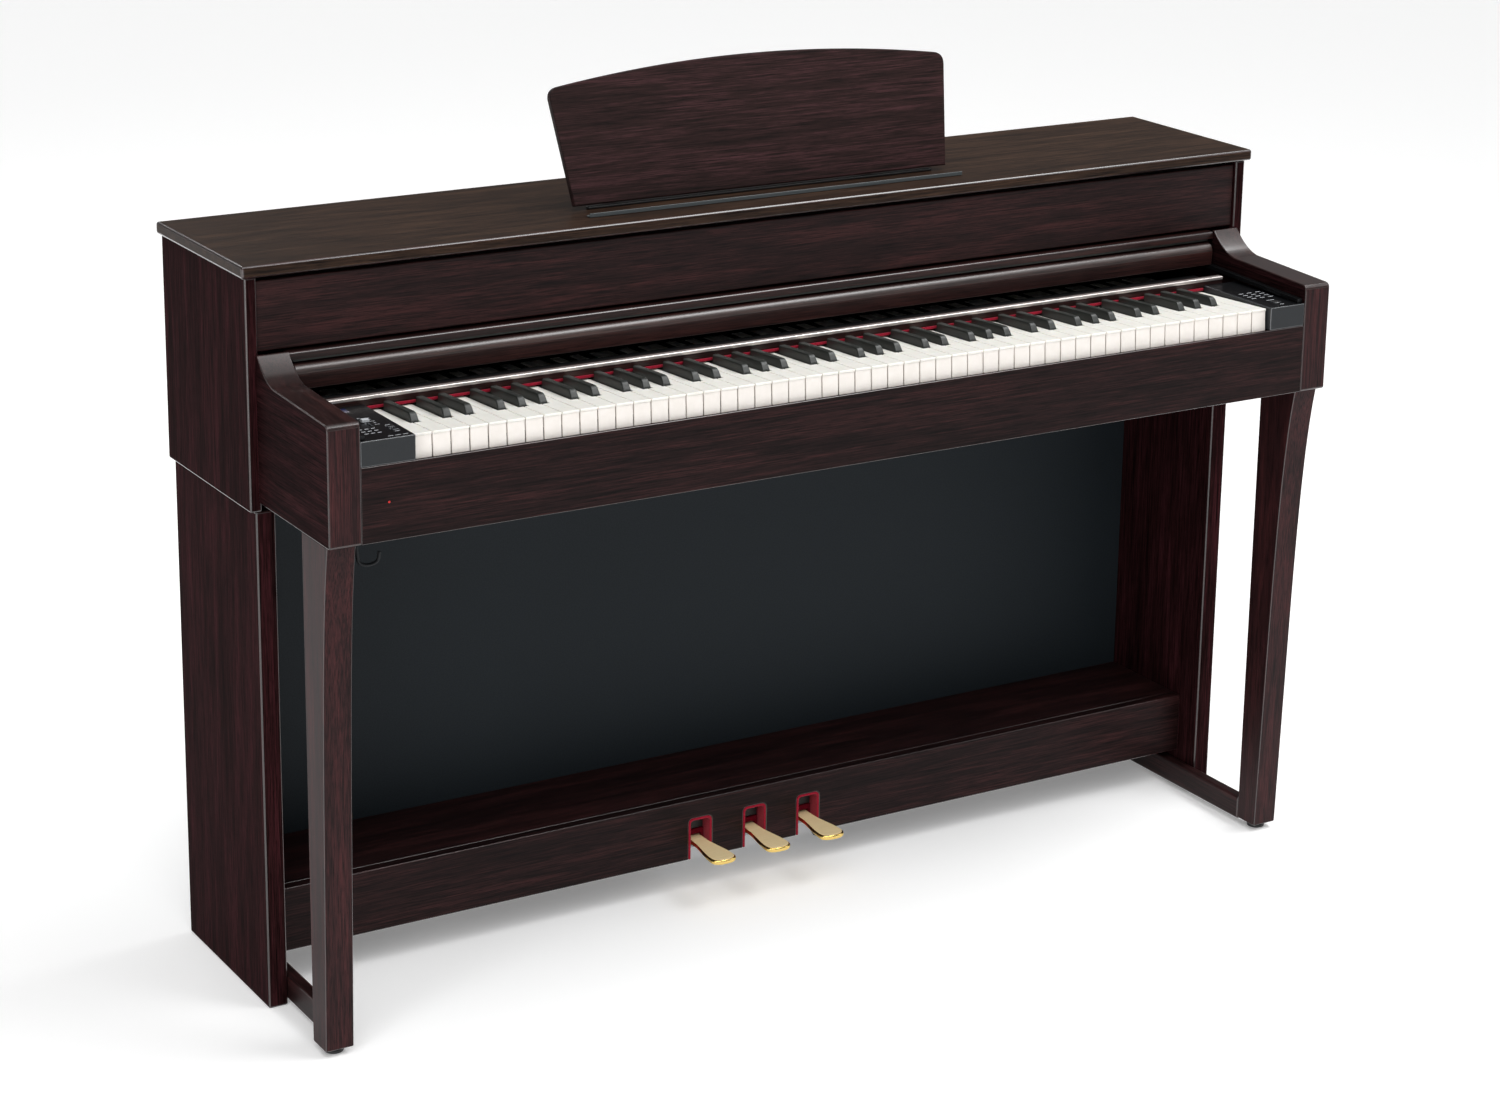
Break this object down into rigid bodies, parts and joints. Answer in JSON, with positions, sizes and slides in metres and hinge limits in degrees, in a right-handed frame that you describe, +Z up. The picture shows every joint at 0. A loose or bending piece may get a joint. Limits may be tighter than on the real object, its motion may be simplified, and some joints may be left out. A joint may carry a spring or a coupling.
{
  "type": "digital piano on stand",
  "caption": "Digital piano in a dark wood cabinet on its own stand, with sliding key cover, raised music rest, moving keys and pedals.",
  "frame": {"origin": "on the floor, at the middle of the bounding box seen from above", "axes": "+X to the player's right along the keyboard, +Y away from the player, +Z up"},
  "size_m": [1.461, 0.459, 1.096],
  "materials": {
    "wood": "satin dark rosewood laminate on fibreboard",
    "board": "dark blue-grey faced fibreboard",
    "plastic": "anthracite, fine texture",
    "circuit_board": "green solder mask",
    "white_key_plastic": "satin white",
    "black_key_plastic": "matte near-black",
    "red_felt": "pressed wool felt",
    "steel": "zinc-grey",
    "brass": "satin top, polished edges"
  },
  "bodies": {
    "case": {"arm_left": "wood", "arm_right": "wood", "control_block_left": "plastic", "control_block_right": "plastic", "cover_fascia": "wood", "cover_guide_left": "steel", "cover_guide_right": "steel", "foot_bar_left": "wood", "foot_bar_right": "wood", "front_panel": "wood", "headphone_box": "plastic", "headphone_hook": "steel", "key_felt": "red_felt", "key_frame": "steel", "keybed": "board", "keyslip": "wood", "leg_glide_left": "plastic", "leg_glide_right": "plastic", "leg_left": "wood", "leg_right": "wood", "lid": "wood", "lower_rear_board": "board", "lower_side_left": "wood", "lower_side_right": "wood", "main_board": "circuit_board", "music_ledge": "plastic", "name_board": "wood", "pedal_box_front": "wood", "pedal_box_top": "wood", "pedal_bracket": "steel", "power_unit": "steel", "rear_jack_panel": "plastic", "rest_hinge": "plastic", "speaker_left": "plastic", "speaker_right": "plastic", "upper_back_board": "board", "upper_side_left": "wood", "upper_side_right": "wood"},
    "cover": {"cover_rail": "wood", "cover_board": "wood"},
    "music_rest": {"music_rest": "wood"},
    "rest_stay_left": {"rest_stay_left": "steel"},
    "rest_stay_right": {"rest_stay_right": "steel"},
    "white_keys_bass": {"white_keys_bass": "white_key_plastic"},
    "white_keys_treble": {"white_keys_treble": "white_key_plastic"},
    "black_keys_bass": {"black_keys_bass": "black_key_plastic"},
    "black_keys_treble": {"black_keys_treble": "black_key_plastic"},
    "key_c": {"key_c": "white_key_plastic"},
    "key_c_sharp": {"key_c_sharp": "black_key_plastic"},
    "key_d": {"key_d": "white_key_plastic"},
    "key_d_sharp": {"key_d_sharp": "black_key_plastic"},
    "key_e": {"key_e": "white_key_plastic"},
    "pedal_left": {"pedal_left": "brass"},
    "pedal_middle": {"pedal_middle": "brass"},
    "pedal_right": {"pedal_right": "brass"},
    "volume_slider": {"volume_slider": "plastic"},
    "power_button": {"power_button": "plastic"},
    "panel_button_1": {"panel_button_1": "plastic"},
    "panel_button_2": {"panel_button_2": "plastic"},
    "height_adjuster": {"height_adjuster": "plastic"}
  },
  "joints": [
    {"name": "key_cover_slide", "type": "slide", "parent": "case", "child": "cover", "axis": [0, -0.9994, -0.0349], "range_m": [0, 0.176]},
    {"name": "music_rest_tilt", "type": "hinge", "parent": "case", "child": "music_rest", "pos_m": [0.012, 0.051, 0.9315], "axis": [1, 0, 0], "range_deg": [-73, 0]},
    {"name": "rest_stay_left_fold", "type": "hinge", "parent": "music_rest", "child": "rest_stay_left", "pos_m": [-0.178, 0.07283, 1.0064], "axis": [1, 0, 0], "range_deg": [0, 138.7]},
    {"name": "rest_stay_right_fold", "type": "hinge", "parent": "music_rest", "child": "rest_stay_right", "pos_m": [0.202, 0.07283, 1.0064], "axis": [1, 0, 0], "range_deg": [0, 138.7]},
    {"name": "white_keys_bass_press", "type": "hinge", "parent": "case", "child": "white_keys_bass", "pos_m": [0, 0.01277, 0.74], "axis": [1, 0, 0], "range_deg": [0, 2.45], "stiffness_Nm_per_rad": 34.5, "springref_deg": -8.02},
    {"name": "white_keys_treble_press", "type": "hinge", "parent": "case", "child": "white_keys_treble", "pos_m": [0, 0.01277, 0.74], "axis": [1, 0, 0], "range_deg": [0, 2.45], "stiffness_Nm_per_rad": 39, "springref_deg": -8.02},
    {"name": "key_c_press", "type": "hinge", "parent": "case", "child": "key_c", "pos_m": [0, 0.01277, 0.74], "axis": [1, 0, 0], "range_deg": [0, 2.45], "stiffness_Nm_per_rad": 1.5, "springref_deg": -8.02},
    {"name": "key_d_press", "type": "hinge", "parent": "case", "child": "key_d", "pos_m": [0, 0.01277, 0.74], "axis": [1, 0, 0], "range_deg": [0, 2.45], "stiffness_Nm_per_rad": 1.5, "springref_deg": -8.02},
    {"name": "key_e_press", "type": "hinge", "parent": "case", "child": "key_e", "pos_m": [0, 0.01277, 0.74], "axis": [1, 0, 0], "range_deg": [0, 2.45], "stiffness_Nm_per_rad": 1.5, "springref_deg": -8.02},
    {"name": "black_keys_bass_press", "type": "hinge", "parent": "case", "child": "black_keys_bass", "pos_m": [0, 0.01277, 0.74], "axis": [1, 0, 0], "range_deg": [0, 2.45], "stiffness_Nm_per_rad": 17.6, "springref_deg": -8.02},
    {"name": "black_keys_treble_press", "type": "hinge", "parent": "case", "child": "black_keys_treble", "pos_m": [0, 0.01277, 0.74], "axis": [1, 0, 0], "range_deg": [0, 2.45], "stiffness_Nm_per_rad": 19.8, "springref_deg": -8.02},
    {"name": "key_c_sharp_press", "type": "hinge", "parent": "case", "child": "key_c_sharp", "pos_m": [0, 0.01277, 0.74], "axis": [1, 0, 0], "range_deg": [0, 2.45], "stiffness_Nm_per_rad": 1.1, "springref_deg": -8.02},
    {"name": "key_d_sharp_press", "type": "hinge", "parent": "case", "child": "key_d_sharp", "pos_m": [0, 0.01277, 0.74], "axis": [1, 0, 0], "range_deg": [0, 2.45], "stiffness_Nm_per_rad": 1.1, "springref_deg": -8.02},
    {"name": "pedal_left_press", "type": "hinge", "parent": "case", "child": "pedal_left", "pos_m": [-0.0935, 0.1, 0.0715], "axis": [1, 0, 0], "range_deg": [0, 6], "stiffness_Nm_per_rad": 20, "springref_deg": -5.73},
    {"name": "pedal_middle_press", "type": "hinge", "parent": "case", "child": "pedal_middle", "pos_m": [-0.011, 0.1, 0.0715], "axis": [1, 0, 0], "range_deg": [0, 6], "stiffness_Nm_per_rad": 20, "springref_deg": -5.73},
    {"name": "pedal_right_press", "type": "hinge", "parent": "case", "child": "pedal_right", "pos_m": [0.0715, 0.1, 0.0715], "axis": [1, 0, 0], "range_deg": [0, 6], "stiffness_Nm_per_rad": 20, "springref_deg": -5.73},
    {"name": "volume_slider_move", "type": "slide", "parent": "case", "child": "volume_slider", "axis": [0, 1, 0], "range_m": [-0.014, 0.014]},
    {"name": "power_button_press", "type": "slide", "parent": "case", "child": "power_button", "axis": [0, 0, -1], "range_m": [0, 0.001], "stiffness_N_per_m": 300, "springref_m": -0.002},
    {"name": "panel_button_1_press", "type": "slide", "parent": "case", "child": "panel_button_1", "axis": [0, 0, -1], "range_m": [0, 0.001], "stiffness_N_per_m": 200, "springref_m": -0.002},
    {"name": "panel_button_2_press", "type": "slide", "parent": "case", "child": "panel_button_2", "axis": [0, 0, -1], "range_m": [0, 0.001], "stiffness_N_per_m": 200, "springref_m": -0.002},
    {"name": "height_adjuster_move", "type": "slide", "parent": "case", "child": "height_adjuster", "axis": [0, 0, 1], "range_m": [-0.0215, 0.01]}
  ],
  "couplings": [
    {"joint": "rest_stay_left_fold", "follows": "music_rest_tilt", "ratio": -1.89},
    {"joint": "rest_stay_right_fold", "follows": "music_rest_tilt", "ratio": -1.89}
  ]
}
